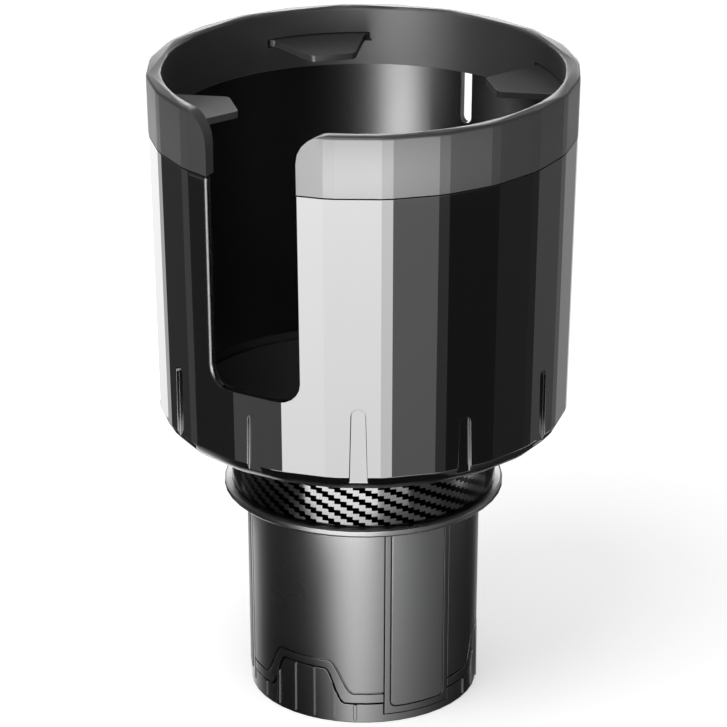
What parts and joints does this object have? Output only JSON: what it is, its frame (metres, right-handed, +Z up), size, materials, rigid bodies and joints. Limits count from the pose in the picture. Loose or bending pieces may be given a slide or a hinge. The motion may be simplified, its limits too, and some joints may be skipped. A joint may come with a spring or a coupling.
{
  "type": "cup holder expander",
  "caption": "Car cup holder expander: faceted cup with a handle slot and soft grip flaps on a round base whose rubber-faced arms spread as the cup is turned.",
  "frame": {"origin": "middle of the base's underside, on the axis that the cup turns about", "axes": "+Z up along the cup's axis, -Y towards the handle slot, +X to the right of the slot seen from outside"},
  "size_m": [0.12, 0.1184, 0.187],
  "materials": {
    "gloss_black": "polished",
    "collar_elastomer": "satin",
    "pad_rubber": "matte",
    "satin_black": "satin",
    "carbon_twill": "carbon fibre twill under clear coat",
    "cam_nylon": "moulded",
    "steel": "zinc plated"
  },
  "bodies": {
    "base": {"base_shell": "satin_black", "flange_plate": "satin_black", "bottom_cover": "satin_black", "cover_screw_1": "steel", "cover_screw_2": "steel", "cover_screw_3": "steel"},
    "cup": {"cup_body": "gloss_black", "rim_collar": "collar_elastomer", "grip_flap_1": "collar_elastomer", "grip_flap_2": "collar_elastomer", "grip_flap_3": "collar_elastomer", "grip_flap_4": "collar_elastomer", "floor_mat": "pad_rubber", "neck_hub": "satin_black", "carbon_sleeve": "carbon_twill", "cam_plate": "cam_nylon", "hub_screw_1": "steel", "hub_screw_2": "steel", "hub_screw_3": "steel", "pivot_bolt": "steel", "pivot_washer": "steel"},
    "arm_1": {"arm_1": "satin_black", "arm_pad_1": "pad_rubber", "follower_pin_1": "steel"},
    "arm_2": {"arm_2": "satin_black", "arm_pad_2": "pad_rubber", "follower_pin_2": "steel"},
    "arm_3": {"arm_3": "satin_black", "arm_pad_3": "pad_rubber", "follower_pin_3": "steel"}
  },
  "joints": [
    {"name": "cup_turn", "type": "hinge", "parent": "base", "child": "cup", "pos_m": [0, 0, 0.0642], "axis": [0, 0, -1], "range_deg": [0, 100]},
    {"name": "arm_1_slide", "type": "slide", "parent": "base", "child": "arm_1", "axis": [0.866, -0.5, 0], "range_m": [0, 0.007]},
    {"name": "arm_2_slide", "type": "slide", "parent": "base", "child": "arm_2", "axis": [0, 1, 0], "range_m": [0, 0.007]},
    {"name": "arm_3_slide", "type": "slide", "parent": "base", "child": "arm_3", "axis": [-0.866, -0.5, 0], "range_m": [0, 0.007]}
  ],
  "couplings": [
    {"joint": "arm_1_slide", "follows": "cup_turn", "m_per_rad": 0.0040107},
    {"joint": "arm_2_slide", "follows": "cup_turn", "m_per_rad": 0.0040107},
    {"joint": "arm_3_slide", "follows": "cup_turn", "m_per_rad": 0.0040107}
  ]
}
